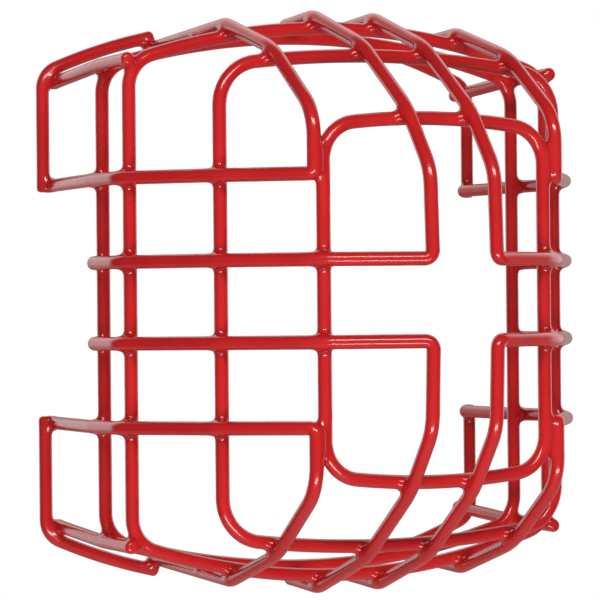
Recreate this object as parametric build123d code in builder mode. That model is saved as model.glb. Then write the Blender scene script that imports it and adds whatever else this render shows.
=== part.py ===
"""Wall guard of welded, plastic-coated steel wire.

Four rings stand parallel to the wall. Eight corner wires lie over them, outer and inner, one of each
in every corner: each runs forward along a side, turns square at the front and goes back over the top
or the bottom. Four L-shaped foot wires lie against the wall, and a strut ties the corner of each foot
to the rings.

X is to the right, Y goes into the wall and Z is up. The wall is the plane Y = 0, and the origin is in
that plane, at the middle of the four feet. Every size is in millimetres and is taken at the middle of
the coated wire, unless it says otherwise.
"""

from build123d import *

import os
from collections import namedtuple
from math import atan2, cos, hypot, radians, sin, sqrt

# ---- Wire and welds ----

wire_d = 4.3  # over the coating
weld_sink = 0.35  # how far two crossing wires are pressed into each other
wire_r = wire_d / 2
stack = wire_d - weld_sink  # from the middle of a wire to the middle of the wire on top of it

# ---- Rings ----
# stand: distance from the wall; half_w, half_h: half width and half height, at the middle of a side;
# bow: how far the top and bottom wires bulge beyond the height at the sides; corner_r: corner bend

Ring = namedtuple("Ring", "stand half_w half_h bow corner_r")

# The two rear rings are nearly the same.
side_w = 76.0
crown_h = 88.4
crown_bow = 13.4
rear_drop = 1.2  # how much less the rear ring's top and bottom wires bulge

rear = Ring(stand=40.8, half_w=side_w, half_h=crown_h - rear_drop, bow=crown_bow - rear_drop, corner_r=11.0)
shoulder = Ring(stand=62.4, half_w=side_w, half_h=crown_h, bow=crown_bow, corner_r=11.0)
middle = Ring(stand=93.6, half_w=59.5, half_h=76.7, bow=4.9, corner_r=14.0)
front = Ring(stand=121.3, half_w=38.5, half_h=55.4, bow=3.1, corner_r=11.8)

# ---- Corner wires ----
# row: height of the side run at the rear ring; fall: how much lower it is at the front; column:
# distance of the top run from the middle; reach: distance of the front upright from the wall;
# upright: height where the wire bends back

beside = radians(20)  # where an outer upright lies beside the front ring's upright
outer_row = 39.2
outer_fall = 1.3
outer_column = front.half_w + stack * cos(beside)
outer_reach = front.stand + stack * sin(beside)
outer_rise = 1.0  # from the front ring's middle to where an outer upright bends back
outer_upright = front.half_h + outer_rise
inner_row = 12.8
inner_fall = 0.5
inner_column = 11.1
inner_lead = 17.8  # how far the inner uprights stand in front of the front ring
inner_reach = front.stand + inner_lead
inner_upright = 38.9
inner_lean = 1.2  # how far an inner upright leans back over its height
inner_end = 0.3  # the inner wires end over the rear ring, this far in front of its middle

bend_r = 14.0  # bends over the shoulder ring
ease_r = 35.0  # slight bends over the other rings
upright_bend_r = 15.5  # where an upright leans back
square_bend_r = 2.5  # the square turn from side run to upright

# ---- Feet and struts ----

foot_outset = 5.1  # from the side of the rear rings to the upright leg of a foot
foot_bow = 18.2  # of the foot's level leg, over the whole width
foot_corner_r = 8.0
foot_past = 0.9  # the level leg ends this far past the outer wire's middle
side_end_inset = 2.8  # from the middle of the foot's upright leg to the end of the side run
side_end_gap = 2.8  # the side run ends this far from the wall, against the foot's upright leg
wall_gap = 0.3  # the top runs and the struts end this far from the wall, inside the feet
strut_past = 3.0  # the strut ends this far in front of the shoulder ring

corners = {
    "upper_left": (-1, 1),
    "upper_right": (1, 1),
    "lower_left": (-1, -1),
    "lower_right": (1, -1),
}

os.makedirs("parts", exist_ok=True)


# ---- Geometry shared by the wires ----


def bow_radius(ring):
    """Radius of the arc that rises by the bow over half the ring's width."""
    return (ring.half_w**2 + ring.bow**2) / (2 * ring.bow)


def height_at(ring, across):
    """Height of a ring's bowed wire at a distance from the middle."""
    radius = bow_radius(ring)
    return ring.half_h - radius + sqrt(radius**2 - across**2)


def corner_point(ring, outside):
    """Point (across, height) beside the middle of a ring's corner bend."""
    radius = bow_radius(ring)
    bend_across = ring.half_w - ring.corner_r
    bend_rise = sqrt((radius - ring.corner_r) ** 2 - bend_across**2)
    half_turn = atan2(bend_rise, bend_across) / 2
    reach = ring.corner_r + outside
    bend_height = ring.half_h - radius + bend_rise
    return bend_across + reach * cos(half_turn), bend_height + reach * sin(half_turn)


def stood_off(under, behind, ahead):
    """Point one wire outside the point `under`, square to the run from behind to ahead."""
    run = (ahead[0] - behind[0], ahead[1] - behind[1])
    length = hypot(*run)
    return under[0] + stack * run[1] / length, under[1] - stack * run[0] / length


def run_over(passed, bend, end):
    """Points from a bend to the end of a run, each one wire outside the ring that it passes."""
    passes = [end]
    for under, behind in zip(reversed(passed), reversed([bend] + passed[:-1])):
        passes.insert(0, stood_off(under, behind, passes[0]))
    return [bend] + passes


def round_wire(points, radii, crossed):
    """A round wire along straight runs and bends, seated on the wires that it crosses."""
    with BuildPart() as wire:
        with BuildLine():
            run = FilletPolyline(*points, radius=radii)
        with BuildSketch(Plane(origin=run @ 0, z_dir=run % 0)):
            Circle(wire_r)
        sweep(path=run)
        for other in crossed:
            add(other, mode=Mode.SUBTRACT)
    return wire.part


def save(piece, name):
    piece.label = name
    export_step(piece, f"parts/{name}.step")


# ---- Rings ----


def closed_ring(ring):
    """A closed wire with straight sides, bowed top and bottom, and rounded corners."""
    side_h = ring.half_h - ring.bow
    with BuildPart() as wire:
        with BuildLine(Plane.XZ.offset(ring.stand)) as path:
            Line((-ring.half_w, -side_h), (-ring.half_w, side_h))
            ThreePointArc((-ring.half_w, side_h), (0, ring.half_h), (ring.half_w, side_h))
            Line((ring.half_w, side_h), (ring.half_w, -side_h))
            ThreePointArc((ring.half_w, -side_h), (0, -ring.half_h), (-ring.half_w, -side_h))
            fillet(path.vertices(), ring.corner_r)
        outline = path.wires()[0]
        with BuildSketch(Plane(origin=outline @ 0, z_dir=outline % 0)):
            Circle(wire_r)
        sweep(path=outline)
    return wire.part


# ---- Corner wires ----

foot_half_w = side_w + foot_outset


def corner_wire(side, level, row, fall, column, reach, upright, lean, passed, to_wall):
    """A wire along a side, square up or down the front, and back over the top or bottom.

    side and level are the signs of X and Z, `passed` are the rings that it passes between the
    shoulder ring and the front, and to_wall says if it goes on from the rear ring to the wall.
    """
    side_rear = (rear.half_w + stack, rear.stand)
    side_bend = (shoulder.half_w + stack, shoulder.stand)
    side_passed = [(ring.half_w, ring.stand) for ring in passed]
    side_run = run_over(side_passed, side_bend, (column, reach))

    crown_rear = (height_at(rear, column) + stack, rear.stand)
    crown_bend = (height_at(shoulder, column) + stack, shoulder.stand)
    crown_passed = [(height_at(ring, column), ring.stand) for ring in passed]
    crown_run = run_over(crown_passed, crown_bend, (upright, reach - lean))

    eased = [ease_r] * len(passed)
    radii = [bend_r] + eased + [square_bend_r, upright_bend_r] + eased + [bend_r]
    if to_wall:
        side_run = [(foot_half_w - side_end_inset, side_end_gap), side_rear] + side_run
        crown_run = [(crown_height_at_wall(column), wall_gap)] + crown_run
        radii = [ease_r] + radii
    else:
        end = rear.stand + inner_end
        side_run = [(side_rear[0], end)] + side_run
        crown_run = [(crown_rear[0], end)] + crown_run

    slope = fall / (reach - rear.stand)
    points = []
    for across, out in side_run:
        height = row - slope * max(out - rear.stand, 0)
        points.append((side * across, -out, level * height))
    points += [(side * column, -out, level * height) for height, out in reversed(crown_run)]
    return round_wire(points, radii, rings.values())


def crown_height_at_wall(column):
    """Height at which a top run reaches the wall, straight on over the two rear rings."""
    fall = height_at(shoulder, column) - height_at(rear, column)
    slope = fall / (shoulder.stand - rear.stand)
    return height_at(rear, column) + stack - slope * (rear.stand - wall_gap)


rings = {
    "ring_rear": closed_ring(rear),
    "ring_shoulder": closed_ring(shoulder),
    "ring_middle": closed_ring(middle),
    "ring_front": closed_ring(front),
}
for name, piece in rings.items():
    save(piece, name)

outer_wires = {}
for corner, (side, level) in corners.items():
    outer_wires[corner] = corner_wire(
        side,
        level,
        outer_row,
        outer_fall,
        outer_column,
        outer_reach,
        outer_upright,
        lean=0,
        passed=[middle],
        to_wall=True,
    )
    save(outer_wires[corner], f"outer_wire_{corner}")
    inner_wire = corner_wire(
        side,
        level,
        inner_row,
        inner_fall,
        inner_column,
        inner_reach,
        inner_upright,
        lean=inner_lean,
        passed=[middle, front],
        to_wall=False,
    )
    save(inner_wire, f"inner_wire_{corner}")

# ---- Feet and struts ----

# Each foot is a corner of one closed outline, bowed like a ring, whose top and bottom wires lie on
# the ends of the outer wires.
level_leg_r = (foot_half_w**2 + foot_bow**2) / (2 * foot_bow)
level_leg_h = crown_height_at_wall(outer_column) + stack
foot_half_h = level_leg_h + level_leg_r - sqrt(level_leg_r**2 - outer_column**2)
foot = Ring(wire_r, foot_half_w, foot_half_h, foot_bow, foot_corner_r)


def wall_foot(side, level, crossed):
    """An L-shaped wire against the wall, seated on the wires that end against it."""
    tip = outer_column - foot_past
    halfway = (foot.half_w + tip) / 2
    corner_h = foot.half_h - foot.bow
    foot_end = (side * foot.half_w, level * (outer_row - wire_r))
    turn = (side * foot.half_w, level * corner_h)
    with BuildPart() as wire:
        with BuildLine(Plane.XZ.offset(foot.stand)) as path:
            Line(foot_end, turn)
            ThreePointArc(
                turn,
                (side * halfway, level * height_at(foot, halfway)),
                (side * tip, level * height_at(foot, tip)),
            )
            sharp_corner = (turn[0], -foot.stand, turn[1])
            fillet(path.vertices().sort_by_distance(sharp_corner)[0], foot.corner_r)
        outline = path.wires()[0]
        with BuildSketch(Plane(origin=outline @ 0, z_dir=outline % 0)):
            Circle(wire_r)
        sweep(path=outline)
        for other in crossed:
            add(other, mode=Mode.SUBTRACT)
    return wire.part


strut_wall = corner_point(foot, -stack)
strut_rear = corner_point(rear, stack)
strut_front = corner_point(shoulder, stack)
strut_points = [
    (strut_wall, wall_gap),
    (strut_rear, rear.stand),
    (strut_front, shoulder.stand + strut_past),
]
for corner, (side, level) in corners.items():
    points = [(side * across, -out, level * height) for (across, height), out in strut_points]
    strut = round_wire(points, [ease_r], [rings["ring_rear"], rings["ring_shoulder"]])
    save(strut, f"strut_{corner}")
    save(wall_foot(side, level, [outer_wires[corner], strut]), f"foot_{corner}")
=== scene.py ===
"""Looks of a wall guard welded from steel wire and dipped in a thick, glossy red plastic coating.

Every wire gets a skin of its own, swept along the CAD model's route. At each weld the coating has run
into the corner between the two wires, so both skins swell there and meet in one smooth web. Routes are
worked out in millimetres, as in the CAD model, and meshes are made in metres.
"""

import math
from collections import namedtuple

import bpy
import numpy as np
from mathutils import Matrix, Vector, kdtree, noise


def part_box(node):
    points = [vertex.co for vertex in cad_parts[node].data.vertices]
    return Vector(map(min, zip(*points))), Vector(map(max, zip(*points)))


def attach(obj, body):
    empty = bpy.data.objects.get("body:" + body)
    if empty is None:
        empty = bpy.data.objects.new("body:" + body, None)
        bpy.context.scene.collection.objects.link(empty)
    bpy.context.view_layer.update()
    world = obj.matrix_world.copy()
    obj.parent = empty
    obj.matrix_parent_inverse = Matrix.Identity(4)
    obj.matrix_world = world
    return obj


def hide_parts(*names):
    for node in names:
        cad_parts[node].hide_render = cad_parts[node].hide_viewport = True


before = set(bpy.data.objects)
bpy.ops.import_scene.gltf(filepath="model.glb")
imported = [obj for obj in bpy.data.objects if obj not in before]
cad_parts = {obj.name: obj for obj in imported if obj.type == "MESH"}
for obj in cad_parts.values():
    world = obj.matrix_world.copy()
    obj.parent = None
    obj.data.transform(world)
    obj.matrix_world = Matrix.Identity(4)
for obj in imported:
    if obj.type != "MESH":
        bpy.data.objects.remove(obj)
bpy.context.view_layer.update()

MM = 0.001  # metres

# ---- Sizes of the wires ----
# In millimetres. What a node's box gives is read from the frame, and the rest is as in the CAD model.
# stand: distance from the wall; half_w, half_h: half width and half height, at the middle of a side;
# bow: how far the top and bottom wires bulge beyond the height at the sides; corner_r: corner bend

Ring = namedtuple("Ring", "stand half_w half_h bow corner_r")


def node_box(node):
    """Lowest and highest corner of a CAD node, in millimetres."""
    low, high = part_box(node)
    return [value / MM for value in low], [value / MM for value in high]


def ring_of(node, bow, corner_r):
    low, high = node_box(node)
    stand = -(low[1] + high[1]) / 2
    return Ring(stand, high[0] - wire_r, high[2] - wire_r, bow, corner_r)


rear_low, rear_high = node_box("ring_rear")
wire_r = (rear_high[1] - rear_low[1]) / 2
weld_sink = 0.35  # how far two crossing wires are pressed into each other
stack = 2 * wire_r - weld_sink  # from the middle of a wire to the middle of the wire on top of it

rear = ring_of("ring_rear", bow=12.2, corner_r=11.0)
shoulder = ring_of("ring_shoulder", bow=13.4, corner_r=11.0)
middle = ring_of("ring_middle", bow=4.9, corner_r=14.0)
front = ring_of("ring_front", bow=3.1, corner_r=11.8)

# row: height of the side run at the rear ring; fall: how much lower it is at the front; column:
# distance of the top run from the middle; reach: distance of the front upright from the wall;
# upright: height where the wire bends back
outer_low, _ = node_box("outer_wire_upper_right")
outer_fall = 1.3
outer_row = outer_low[2] + wire_r + outer_fall
outer_column = outer_low[0] + wire_r
outer_reach = -outer_low[1] - wire_r
outer_rise = 1.0  # from the front ring's middle to where an outer upright bends back
outer_upright = front.half_h + outer_rise

inner_low, _ = node_box("inner_wire_upper_right")
inner_fall = 0.5
inner_row = inner_low[2] + wire_r + inner_fall
inner_column = inner_low[0] + wire_r
inner_reach = -inner_low[1] - wire_r
inner_upright = 38.9
inner_lean = 1.2  # how far an inner upright leans back over its height
inner_end = 0.3  # the inner wires end over the rear ring, this far in front of its middle

bend_r = 14.0  # bends over the shoulder ring
ease_r = 35.0  # slight bends over the other rings
upright_bend_r = 15.5  # where an upright leans back
square_bend_r = 2.5  # the square turn from side run to upright

_, foot_high = node_box("foot_upper_right")
foot_half_w = foot_high[0] - wire_r
foot_bow = 18.2
foot_corner_r = 8.0
foot_past = 0.9  # the level leg ends this far past the outer wire's middle
side_end_inset = 2.8  # from the middle of the foot's upright leg to the end of the side run
side_end_gap = 2.8  # the side run ends this far from the wall
wall_gap = 0.3  # the top runs and the struts end this far from the wall
strut_past = 3.0  # the strut ends this far in front of the shoulder ring

CORNERS = {
    "upper_left": (-1, 1),
    "upper_right": (1, 1),
    "lower_left": (-1, -1),
    "lower_right": (1, -1),
}

# ---- Routes ----

STEP = 0.25  # between the points of a route, in millimetres


def bow_radius(ring):
    """Radius of the arc that rises by the bow over half the ring's width."""
    return (ring.half_w**2 + ring.bow**2) / (2 * ring.bow)


def height_at(ring, across):
    """Height of a ring's bowed wire at a distance from the middle."""
    radius = bow_radius(ring)
    return ring.half_h - radius + math.sqrt(radius**2 - across**2)


def corner_centre(ring):
    """Centre (across, height) of a ring's corner bend, and the angle at which the bend ends."""
    inner_radius = bow_radius(ring) - ring.corner_r
    across = ring.half_w - ring.corner_r
    rise = math.sqrt(inner_radius**2 - across**2)
    return across, ring.half_h - bow_radius(ring) + rise, math.atan2(rise, across)


def corner_point(ring, outside):
    """Point (across, height) beside the middle of a ring's corner bend."""
    across, height, turn = corner_centre(ring)
    reach = ring.corner_r + outside
    return across + reach * math.cos(turn / 2), height + reach * math.sin(turn / 2)


def stood_off(under, behind, ahead):
    """Point one wire outside the point `under`, square to the run from behind to ahead."""
    run = (ahead[0] - behind[0], ahead[1] - behind[1])
    length = math.hypot(*run)
    return under[0] + stack * run[1] / length, under[1] - stack * run[0] / length


def run_over(passed, bend, end):
    """Points from a bend to the end of a run, each one wire outside the ring that it passes."""
    passes = [end]
    for under, behind in zip(reversed(passed), reversed([bend] + passed[:-1])):
        passes.insert(0, stood_off(under, behind, passes[0]))
    return [bend] + passes


def points_in(length):
    return max(2, int(math.ceil(length / STEP)))


def line_points(start, end):
    """Points of a straight run, without its last one."""
    count = points_in(np.linalg.norm(end - start))
    share = np.arange(count)[:, None] / count
    return start + (end - start) * share


def line_2d(start, end):
    return line_points(np.array(start, float), np.array(end, float))


def arc_2d(centre, radius, start, end):
    """Points of an arc between two angles, without its last one."""
    count = points_in(radius * abs(end - start))
    angles = start + (end - start) * np.arange(count) / count
    return np.stack([centre[0] + radius * np.cos(angles), centre[1] + radius * np.sin(angles)], 1)


def filleted(corners, radii):
    """Points along straight runs that are joined by round bends of the given radii."""
    corners = [np.array(corner, float) for corner in corners]
    pieces = []
    here = corners[0]
    for before, corner, after, radius in zip(corners, corners[1:], corners[2:], radii):
        to_start = before - corner
        to_end = after - corner
        to_start /= np.linalg.norm(to_start)
        to_end /= np.linalg.norm(to_end)
        half_gap = math.acos(float(np.dot(to_start, to_end))) / 2
        cut = radius / math.tan(half_gap)
        bisector = to_start + to_end
        bisector /= np.linalg.norm(bisector)
        centre = corner + bisector * radius / math.sin(half_gap)
        pieces.append(line_points(here, corner + to_start * cut))

        towards = (corner + to_start * cut - centre) / radius
        sweep = math.pi - 2 * half_gap
        count = points_in(radius * sweep)
        angles = np.arange(count)[:, None] / count * sweep
        pieces.append(centre + radius * (np.cos(angles) * towards - np.sin(angles) * to_start))
        here = corner + to_end * cut
    pieces.append(line_points(here, corners[-1]))
    pieces.append(corners[-1][None, :])
    return np.concatenate(pieces)


def at_stand(outline, stand):
    """An outline of (across, height) points, placed parallel to the wall."""
    return np.stack([outline[:, 0], np.full(len(outline), -stand), outline[:, 1]], 1)


def quarter(ring, low, tip):
    """A ring's outline in the corner between +X and +Z, from its side at height low to its top at tip."""
    across, height, turn = corner_centre(ring)
    radius = bow_radius(ring)
    top_centre = (0.0, ring.half_h - radius)
    return np.concatenate(
        [
            line_2d((ring.half_w, low), (ring.half_w, height)),
            arc_2d((across, height), ring.corner_r, 0.0, turn),
            arc_2d(top_centre, radius, turn, math.acos(tip / radius)),
        ]
    )


def ring_route(ring):
    """The closed outline of a ring: a quarter, its mirror image, and both again below."""
    first = quarter(ring, 0.0, 0.0)
    second = np.concatenate([[[0.0, ring.half_h]], first[:0:-1]]) * [-1, 1]
    upper = np.concatenate([first, second])
    return at_stand(np.concatenate([upper, -upper]), ring.stand)


def crown_height_at_wall(column):
    """Height at which a top run reaches the wall, straight on over the two rear rings."""
    fall = height_at(shoulder, column) - height_at(rear, column)
    slope = fall / (shoulder.stand - rear.stand)
    return height_at(rear, column) + stack - slope * (rear.stand - wall_gap)


def corner_route(side, level, row, fall, column, reach, upright, lean, passed, to_wall):
    """A route along a side, square up or down the front, and back over the top or bottom.

    side and level are the signs of X and Z, `passed` are the rings that it passes between the
    shoulder ring and the front, and to_wall says if it goes on from the rear ring to the wall.
    """
    side_rear = (rear.half_w + stack, rear.stand)
    side_bend = (shoulder.half_w + stack, shoulder.stand)
    side_run = run_over([(ring.half_w, ring.stand) for ring in passed], side_bend, (column, reach))
    crown_rear = (height_at(rear, column) + stack, rear.stand)
    crown_bend = (height_at(shoulder, column) + stack, shoulder.stand)
    crown_passed = [(height_at(ring, column), ring.stand) for ring in passed]
    crown_run = run_over(crown_passed, crown_bend, (upright, reach - lean))

    eased = [ease_r] * len(passed)
    radii = [bend_r] + eased + [square_bend_r, upright_bend_r] + eased + [bend_r]
    if to_wall:
        side_run = [(foot_half_w - side_end_inset, side_end_gap), side_rear] + side_run
        crown_run = [(crown_height_at_wall(column), wall_gap)] + crown_run
        radii = [ease_r] + radii
    else:
        end = rear.stand + inner_end
        side_run = [(side_rear[0], end)] + side_run
        crown_run = [(crown_rear[0], end)] + crown_run

    slope = fall / (reach - rear.stand)
    corners = []
    for across, out in side_run:
        height = row - slope * max(out - rear.stand, 0)
        corners.append((side * across, -out, level * height))
    corners += [(side * column, -out, level * height) for height, out in reversed(crown_run)]
    return filleted(corners, radii)


# The feet are the corners of one closed outline, bowed like a ring.
level_leg_r = (foot_half_w**2 + foot_bow**2) / (2 * foot_bow)
level_leg_h = crown_height_at_wall(outer_column) + stack
foot_half_h = level_leg_h + level_leg_r - math.sqrt(level_leg_r**2 - outer_column**2)
foot = Ring(wire_r, foot_half_w, foot_half_h, foot_bow, foot_corner_r)


def foot_route(side, level):
    tip = outer_column - foot_past
    outline = quarter(foot, outer_row - wire_r, tip)
    outline = np.concatenate([outline, [[tip, height_at(foot, tip)]]]) * [side, level]
    return at_stand(outline, foot.stand)


def strut_route(side, level):
    stops = [
        (corner_point(foot, -stack), wall_gap),
        (corner_point(rear, stack), rear.stand),
        (corner_point(shoulder, stack), shoulder.stand + strut_past),
    ]
    corners = [(side * across, -out, level * height) for (across, height), out in stops]
    return filleted(corners, [ease_r])


Wire = namedtuple("Wire", "node route closed")
wires = [
    Wire("ring_rear", ring_route(rear), True),
    Wire("ring_shoulder", ring_route(shoulder), True),
    Wire("ring_middle", ring_route(middle), True),
    Wire("ring_front", ring_route(front), True),
]
for corner, (side, level) in CORNERS.items():
    outer = corner_route(
        side,
        level,
        outer_row,
        outer_fall,
        outer_column,
        outer_reach,
        outer_upright,
        lean=0.0,
        passed=[middle],
        to_wall=True,
    )
    inner = corner_route(
        side,
        level,
        inner_row,
        inner_fall,
        inner_column,
        inner_reach,
        inner_upright,
        lean=inner_lean,
        passed=[middle, front],
        to_wall=False,
    )
    wires.append(Wire("outer_wire_" + corner, outer, False))
    wires.append(Wire("inner_wire_" + corner, inner, False))
    wires.append(Wire("strut_" + corner, strut_route(side, level), False))
    wires.append(Wire("foot_" + corner, foot_route(side, level), False))

# ---- Skins ----

SIDES = 32  # vertices round a wire
FINE_STEP = 0.4  # between rows of vertices beside a weld or an end
COARSE_STEP = 1.6  # between rows elsewhere
FINE_PAST_WEB = 0.6  # how far past a web the rows stay close together
FINE_END = 3.0  # length of the stretch at an end where they do
ROW_TURN = 0.12  # most that a bend turns between two rows, in radians

WEB = 2.9  # how far from the corner between two wires the coating has run
WEB_TOP = WEB / 4  # height of the web where the two wires meet
WEB_OVERLAP = 0.05  # how far a skin goes on under the other one where two meet
HALVINGS = 9  # steps of the search for the web's height

END_R = 1.3  # rounding of the coating over a cut end
END_ROWS = 8
END_CLEAR = 1.15 * END_R  # the even rows stop this far from an end
END_SWELL = 0.1  # the coating is thicker at a cut end
END_SWELL_REACH = 3.5

PEEL = 0.025  # unevenness of the coating
PEEL_SIZE = 7.0

STEEP = 0.9  # share of a direction along Y above which Y can't start the frames
LEAST_TURNING = 1e-6
MARK_SLACK = 1e-9


def tangents_of(route, closed):
    if closed:
        ahead = np.roll(route, -1, 0)
        behind = np.roll(route, 1, 0)
    else:
        ahead = np.concatenate([route[1:], route[-1:]])
        behind = np.concatenate([route[:1], route[:-1]])
    tangents = ahead - behind
    return tangents / np.linalg.norm(tangents, axis=1)[:, None]


def tree_of(points):
    tree = kdtree.KDTree(len(points))
    for index, point in enumerate(points):
        tree.insert(point, index)
    tree.balance()
    return tree


def nearest(tree, points):
    return np.array([tree.find(point)[1] for point in points], int)


class Neighbours:
    """All the wires but one, as points along their middles with directions."""

    def __init__(self, wire):
        points = []
        tangents = []
        ends = []
        for other in wires:
            if other.node == wire.node:
                continue
            cut = 0 if other.closed else int(wire_r / STEP)
            keep = slice(cut, len(other.route) - cut)
            flags = np.zeros(len(other.route[keep]), bool)
            if not other.closed:
                flags[[0, -1]] = True
            points.append(other.route[keep])
            tangents.append(tangents_of(other.route, other.closed)[keep])
            ends.append(flags)
        self.points = np.concatenate(points)
        self.tangents = np.concatenate(tangents)
        self.ends = np.concatenate(ends)
        self.tree = tree_of(self.points)

    def gap(self, points):
        """Distance from each point to the bare surface of the nearest other wire."""
        index = nearest(self.tree, points)
        offset = points - self.points[index]
        slide = np.sum(offset * self.tangents[index], 1)
        slide = np.where(self.ends[index], 0.0, slide)
        beside = offset - slide[:, None] * self.tangents[index]
        return np.linalg.norm(beside, axis=1) - wire_r


def web_height(neighbours, points, normals):
    """How far each point of a bare wire rises along its normal to the web between the wires."""
    top = WEB_TOP + WEB_OVERLAP

    def rounded_gap(rise, chosen):
        gap = neighbours.gap(points[chosen] + normals[chosen] * rise[:, None])
        overlap = np.maximum(WEB - np.abs(rise - gap), 0.0)
        return np.minimum(rise, gap) - overlap**2 / (4 * WEB)

    rise = np.zeros(len(points))
    near = np.nonzero(neighbours.gap(points) < WEB)[0]
    if len(near) == 0:
        return rise
    low = np.zeros(len(near))
    high = np.full(len(near), top)
    capped = rounded_gap(high, near) < 0
    for _ in range(HALVINGS):
        half = (low + high) / 2
        under = rounded_gap(half, near) < 0
        low = np.where(under, half, low)
        high = np.where(under, high, half)
    rise[near] = np.where(capped, top, (low + high) / 2)
    return rise


def points_with_rows(wire, neighbours):
    """Indices of the route's points that get a row: more beside a weld, in a bend and at an end."""
    route = wire.route
    gap = neighbours.gap(route) - wire_r
    spacing = np.where(gap < WEB + FINE_PAST_WEB, FINE_STEP, COARSE_STEP)
    tangents = tangents_of(route, wire.closed)
    turning = np.linalg.norm(np.gradient(tangents, axis=0), axis=1) / STEP
    bend_step = ROW_TURN / np.maximum(turning, LEAST_TURNING)
    spacing = np.minimum(spacing, np.maximum(FINE_STEP, bend_step))
    if not wire.closed:
        reach = int(FINE_END / STEP)
        spacing[:reach] = FINE_STEP
        spacing[-reach:] = FINE_STEP
    lengths = np.linalg.norm(np.diff(route, axis=0), axis=1)
    travelled = np.concatenate([[0.0], np.cumsum(lengths / spacing[:-1])])
    count = int(round(travelled[-1]))
    marks = np.linspace(0.0, travelled[-1], count + 1)
    if wire.closed:
        marks = marks[:-1]
    return np.unique(np.searchsorted(travelled, marks - MARK_SLACK))


def rounded_end(tip, inward):
    """Rows from a cut end to the bare wire: middles, radii, and shares of the normals along the wire."""
    angles = np.linspace(math.pi / 2, 0.0, END_ROWS)
    inset = END_R * (1 - np.sin(angles))
    radii = wire_r - END_R * (1 - np.cos(angles))
    return tip + inward * inset[:, None], radii, np.sin(angles)


def rows_of(wire, neighbours):
    """Middle, direction and radius of each row, and how far its normals lean along the wire."""
    chosen = points_with_rows(wire, neighbours)
    tangents = tangents_of(wire.route, wire.closed)
    centres = wire.route[chosen]
    directions = tangents[chosen]
    if wire.closed:
        return centres, directions, np.full(len(centres), wire_r), np.zeros(len(centres))
    from_start = np.linalg.norm(centres - wire.route[0], axis=1)
    from_end = np.linalg.norm(centres - wire.route[-1], axis=1)
    body = (from_start > END_CLEAR) & (from_end > END_CLEAR)
    count = body.sum()
    head, head_radii, head_leans = rounded_end(wire.route[0], tangents[0])
    tail, tail_radii, tail_leans = rounded_end(wire.route[-1], -tangents[-1])
    return (
        np.concatenate([head, centres[body], tail[::-1]]),
        np.concatenate([[tangents[0]] * END_ROWS, directions[body], [tangents[-1]] * END_ROWS]),
        np.concatenate([head_radii, np.full(count, wire_r), tail_radii[::-1]]),
        np.concatenate([-head_leans, np.zeros(count), tail_leans[::-1]]),
    )


def frames_along(tangents):
    """Directions square to the route that turn as little as possible along it."""
    normal = np.array([0.0, 1.0, 0.0])
    if abs(tangents[0][1]) > STEEP:
        normal = np.array([0.0, 0.0, 1.0])
    normal -= tangents[0] * np.dot(normal, tangents[0])
    normal /= np.linalg.norm(normal)
    normals = [normal]
    for after in tangents[1:]:
        normal = normals[-1] - after * np.dot(normals[-1], after)
        normals.append(normal / np.linalg.norm(normal))
    return np.array(normals), np.cross(tangents, np.array(normals))


def tube_faces(rows, closed):
    """Faces between rows of vertices, turned outward."""
    faces = []
    for row in range(rows if closed else rows - 1):
        here = row * SIDES
        there = (row + 1) % rows * SIDES
        for k in range(SIDES):
            after = (k + 1) % SIDES
            faces.append((here + k, here + after, there + after, there + k))
    return faces


def end_faces(first_vertex, centre_vertex, at_start):
    """Faces between an end's row and the vertex in its middle, turned outward."""
    faces = []
    for k in range(SIDES):
        pair = (first_vertex + k, first_vertex + (k + 1) % SIDES)
        faces.append((centre_vertex,) + (pair[::-1] if at_start else pair))
    return faces


def unevenness(point):
    return noise.noise(Vector(point) / PEEL_SIZE) * PEEL


def skin_of(wire):
    """The coating of one wire, as a closed mesh whose attribute "web" says how deep it has pooled; the
    material darkens the red with it, partly as painted shade.
    """
    neighbours = Neighbours(wire)
    centres, directions, radii, leans = rows_of(wire, neighbours)
    across, up = frames_along(directions)
    angles = np.arange(SIDES) * 2 * math.pi / SIDES
    outward = (
        np.cos(angles)[None, :, None] * across[:, None, :]
        + np.sin(angles)[None, :, None] * up[:, None, :]
    )
    flat = np.sqrt(1 - leans**2)
    normals = outward * flat[:, None, None] + (leans[:, None] * directions)[:, None, :]
    points = centres[:, None, :] + outward * radii[:, None, None]
    points = points.reshape(-1, 3)
    normals = normals.reshape(-1, 3)

    rows = len(centres)
    faces = tube_faces(rows, wire.closed)
    if not wire.closed:
        tube_points = len(points)
        points = np.concatenate([points, centres[[0, -1]]])
        normals = np.concatenate([normals, [-directions[0], directions[-1]]])
        faces += end_faces(0, tube_points, at_start=True)
        faces += end_faces((rows - 1) * SIDES, tube_points + 1, at_start=False)

    swell = np.zeros(len(points))
    if not wire.closed:
        for tip in (wire.route[0], wire.route[-1]):
            away = np.linalg.norm(points - tip, axis=1)
            swell += END_SWELL * np.exp(-((away / END_SWELL_REACH) ** 2))
    rise = web_height(neighbours, points, normals)
    lumps = np.array([unevenness(point) for point in points])
    points = points + normals * (np.maximum(rise, swell) + lumps)[:, None]

    mesh = bpy.data.meshes.new(wire.node + "_skin")
    mesh.from_pydata([tuple(point) for point in points * MM], [], faces)
    mesh.update()
    web_pooling_and_shade = mesh.attributes.new("web", "FLOAT", "POINT")
    web_pooling_and_shade.data.foreach_set("value", np.clip(rise / WEB_TOP, 0.0, 1.0).astype(np.float32))
    mesh.shade_smooth()
    skin = bpy.data.objects.new(wire.node + "_skin", mesh)
    bpy.context.scene.collection.objects.link(skin)
    return skin


# ---- Coating ----

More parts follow.
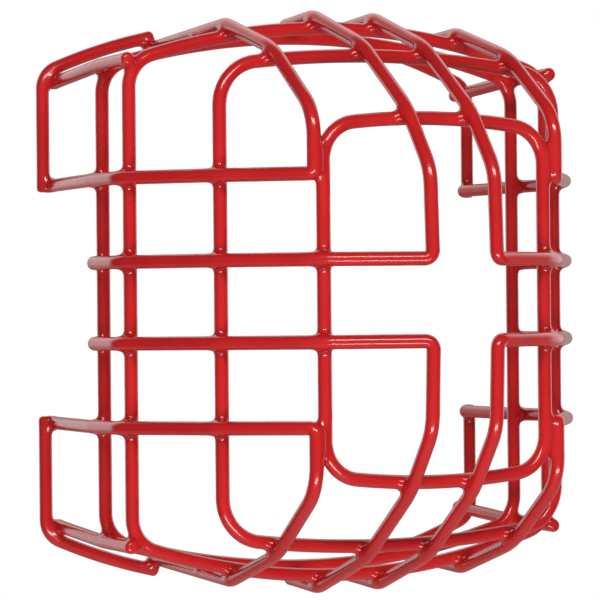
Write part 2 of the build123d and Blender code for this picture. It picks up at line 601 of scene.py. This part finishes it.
RED_LOW = (0.50, 0.0105, 0.012, 1)
RED_HIGH = (0.58, 0.014, 0.015, 1)
# Darker red in the webs between wires: partly the deeper colour of thick pooled coating, partly painted
# shade in the crevices.
RED_POOLED_AND_SHADED = (0.36, 0.006, 0.009, 1)
POOLED_AND_SHADE_SHARE = 0.55  # of the pooled and painted-shade red where a web is highest
GLOSSIEST = (0.13, 0.13, 0.13, 1)  # roughness
DULLEST = (0.2, 0.2, 0.2, 1)
COATING_IOR = 1.5

# Sizes of the noises, in features per metre, with their octaves.
CLOUDS = {"scale": 55.0, "detail": 3.0, "roughness": 0.5}
GLOSS = {"scale": 140.0, "detail": 4.0, "roughness": 0.6}
WAVES = {"scale": 260.0, "detail": 2.0, "roughness": 0.5}
ORANGE_PEEL = {"scale": 1100.0, "detail": 2.0, "roughness": 0.5}


def coating_material():
    """Thick glossy red plastic: faint orange peel, slow waves, and a darker red in the webs between
    wires, partly the deeper colour of pooled coating and partly painted shade.
    """
    material = bpy.data.materials.new("red_coating_gloss")
    material.use_nodes = True
    nodes = material.node_tree.nodes
    links = material.node_tree.links
    shader = nodes["Principled BSDF"]
    place = nodes.new("ShaderNodeTexCoord").outputs["Object"]

    def noise_of(scale, detail, roughness):
        node = nodes.new("ShaderNodeTexNoise")
        node.inputs["Scale"].default_value = scale
        node.inputs["Detail"].default_value = detail
        node.inputs["Roughness"].default_value = roughness
        links.new(place, node.inputs["Vector"])
        return node.outputs["Fac"]

    def ramp(source, low, low_colour, high, high_colour):
        node = nodes.new("ShaderNodeValToRGB")
        first, last = node.color_ramp.elements
        first.position = low
        first.color = low_colour
        last.position = high
        last.color = high_colour
        links.new(source, node.inputs["Fac"])
        return node.outputs["Color"]

    def bump(height, strength, distance):
        node = nodes.new("ShaderNodeBump")
        node.inputs["Strength"].default_value = strength
        node.inputs["Distance"].default_value = distance
        links.new(height, node.inputs["Height"])
        return node

    # The web's height darkens the red: painted shade in the crevices between wires, partly also the
    # deeper colour of pooled coating.
    web_pooling_and_shade = nodes.new("ShaderNodeAttribute")
    web_pooling_and_shade.attribute_name = "web"
    pooling_and_shade_amount = nodes.new("ShaderNodeMath")
    pooling_and_shade_amount.operation = "MULTIPLY"
    pooling_and_shade_amount.inputs[1].default_value = POOLED_AND_SHADE_SHARE
    links.new(web_pooling_and_shade.outputs["Fac"], pooling_and_shade_amount.inputs[0])
    colour = nodes.new("ShaderNodeMixRGB")
    links.new(pooling_and_shade_amount.outputs["Value"], colour.inputs["Fac"])
    links.new(ramp(noise_of(**CLOUDS), 0.3, RED_LOW, 0.7, RED_HIGH), colour.inputs["Color1"])
    colour.inputs["Color2"].default_value = RED_POOLED_AND_SHADED
    links.new(colour.outputs["Color"], shader.inputs["Base Color"])

    gloss = ramp(noise_of(**GLOSS), 0.35, GLOSSIEST, 0.7, DULLEST)
    links.new(gloss, shader.inputs["Roughness"])
    shader.inputs["IOR"].default_value = COATING_IOR

    waves = bump(noise_of(**WAVES), strength=0.07, distance=0.0006)
    peel = bump(noise_of(**ORANGE_PEEL), strength=0.04, distance=0.0002)
    links.new(waves.outputs["Normal"], peel.inputs["Normal"])
    links.new(peel.outputs["Normal"], shader.inputs["Normal"])
    return material


coating = coating_material()
for wire in wires:
    skin = skin_of(wire)
    skin.data.materials.append(coating)
    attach(skin, "root")
    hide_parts(wire.node)

# ---- Camera ----

camera_place = Vector((-0.4096, -0.839, -0.0031))
yaw = math.radians(26.83)
pitch = math.radians(-0.24)
roll = math.radians(-0.52)
focal_share = 4.511  # focal length over the picture's width
sensor_width = 36.0
nearest_seen = 0.05
farthest_seen = 100.0

ahead = Vector(
    (math.sin(yaw) * math.cos(pitch), math.cos(yaw) * math.cos(pitch), -math.sin(pitch))
)
level_right = Vector((math.cos(yaw), -math.sin(yaw), 0.0))
level_up = level_right.cross(ahead)
right = level_right * math.cos(roll) + level_up * math.sin(roll)
up = level_up * math.cos(roll) - level_right * math.sin(roll)

camera_data = bpy.data.cameras.new("camera")
camera_data.sensor_width = sensor_width
camera_data.lens = focal_share * sensor_width
camera_data.clip_start = nearest_seen
camera_data.clip_end = farthest_seen
camera = bpy.data.objects.new("camera", camera_data)
turn = Matrix((right, up, -ahead)).transposed()
camera.matrix_world = Matrix.Translation(camera_place) @ turn.to_4x4()
bpy.context.scene.collection.objects.link(camera)
bpy.context.scene.camera = camera

# ---- Lights ----

UP = Vector((0, 0, 1))
to_camera = -Vector((ahead.x, ahead.y, 0)).normalized()
sideways = Vector((-to_camera.y, to_camera.x, 0))  # to the right in the picture
object_middle = Vector((0.0, -0.07, 0.0))

strip_size = (0.9, 0.17)
strip_distance = 1.2
strip_across = 8  # degrees to the right of the camera
strip_up = 33  # degrees above and below it


def round_the_object(across_deg, up_deg, distance):
    """A place seen from the object at these angles to the right of and above the camera."""
    across = math.radians(across_deg)
    rise = math.radians(up_deg)
    level_dir = to_camera * math.cos(across) + sideways * math.sin(across)
    return object_middle + (level_dir * math.cos(rise) + UP * math.sin(rise)) * distance


def softbox(name, place, size, radiance):
    """A rectangular light facing the object; its radiance is that of a white surface times this."""
    data = bpy.data.lights.new(name, "AREA")
    data.shape = "RECTANGLE"
    data.size, data.size_y = size
    data.energy = radiance * math.pi * size[0] * size[1]
    light = bpy.data.objects.new(name, data)
    light.location = place
    light.rotation_mode = "QUATERNION"
    light.rotation_quaternion = (object_middle - place).to_track_quat("-Z", "Y")
    light.visible_camera = False
    bpy.context.scene.collection.objects.link(light)


above = round_the_object(strip_across, strip_up, strip_distance)
below = round_the_object(strip_across, -strip_up, strip_distance)
softbox("strip_above", above, strip_size, 18.5)
softbox("strip_below", below, strip_size, 16.0)

# ---- Surroundings ----

world = bpy.data.worlds.new("studio")
bpy.context.scene.world = world
world.use_nodes = True
world_nodes = world.node_tree.nodes
world_links = world.node_tree.links
ray_direction = world_nodes.new("ShaderNodeTexCoord").outputs["Generated"]


def share_along(direction, low, high, at_low, at_high):
    """A value that changes smoothly with how far the ray points along a direction."""
    dot = world_nodes.new("ShaderNodeVectorMath")
    dot.operation = "DOT_PRODUCT"
    dot.inputs[1].default_value = direction
    world_links.new(ray_direction, dot.inputs[0])
    fade = world_nodes.new("ShaderNodeMapRange")
    fade.interpolation_type = "SMOOTHSTEP"
    fade.inputs["From Min"].default_value = low
    fade.inputs["From Max"].default_value = high
    fade.inputs["To Min"].default_value = at_low
    fade.inputs["To Max"].default_value = at_high
    world_links.new(dot.outputs["Value"], fade.inputs["Value"])
    return fade.outputs["Result"]


def world_math(operation, first, second):
    node = world_nodes.new("ShaderNodeMath")
    node.operation = operation
    for socket, value in zip(node.inputs, (first, second)):
        if isinstance(value, float):
            socket.default_value = value
        else:
            world_links.new(value, socket)
    return node.outputs["Value"]


def surroundings():
    """What the coating reflects: a bright backdrop, dim straight behind and below, and a dark room."""
    backdrop = share_along(-to_camera, low=0.3, high=0.6, at_low=0.0, at_high=1.6)
    to_ground = share_along(UP, low=-0.5, high=-0.05, at_low=0.15, at_high=1.0)
    straight_behind = share_along(-to_camera, low=0.77, high=0.93, at_low=1.0, at_high=0.2)
    room = share_along(to_camera, low=0.2, high=0.9, at_low=0.1, at_high=0.25)
    lit = world_math("MULTIPLY", world_math("MULTIPLY", backdrop, to_ground), straight_behind)
    return world_math("ADD", lit, room)


# The backdrop itself is plain white to the camera.
seen = world_nodes.new("ShaderNodeLightPath").outputs["Is Camera Ray"]
not_seen = world_math("SUBTRACT", 1.0, seen)
strength = world_math("ADD", world_math("MULTIPLY", surroundings(), not_seen), seen)
background = world_nodes["Background"]
background.inputs["Color"].default_value = (1, 1, 1, 1)
world_links.new(strength, background.inputs["Strength"])

bpy.context.scene.view_settings.view_transform = "Standard"

# ---- Floor ----

floor_height = -1.2  # well below the guard, which hangs on a wall
floor_half = 1.6
floor_cells = 24  # along a side
floor_grain = 3.0  # features per metre
floor_dark = (0.72, 0.72, 0.72, 1)
floor_light = (0.78, 0.78, 0.78, 1)
floor_roughness = 0.9


def floor_material():
    material = bpy.data.materials.new("pale_floor")
    material.use_nodes = True
    nodes = material.node_tree.nodes
    links = material.node_tree.links
    shader = nodes["Principled BSDF"]
    grain = nodes.new("ShaderNodeTexNoise")
    grain.inputs["Scale"].default_value = floor_grain
    tone = nodes.new("ShaderNodeValToRGB")
    tone.color_ramp.elements[0].color = floor_dark
    tone.color_ramp.elements[1].color = floor_light
    links.new(grain.outputs["Fac"], tone.inputs["Fac"])
    links.new(tone.outputs["Color"], shader.inputs["Base Color"])
    shader.inputs["Roughness"].default_value = floor_roughness
    return material


def pale_floor():
    mesh = bpy.data.meshes.new("floor")
    ticks = np.linspace(-floor_half, floor_half, floor_cells + 1)
    points = [(x, y, floor_height) for y in ticks for x in ticks]
    line = len(ticks)
    faces = []
    for row in range(floor_cells):
        for column in range(floor_cells):
            first = row * line + column
            faces.append((first, first + 1, first + line + 1, first + line))
    mesh.from_pydata(points, [], faces)
    mesh.materials.append(floor_material())
    floor = bpy.data.objects.new("floor", mesh)
    bpy.context.scene.collection.objects.link(floor)


pale_floor()
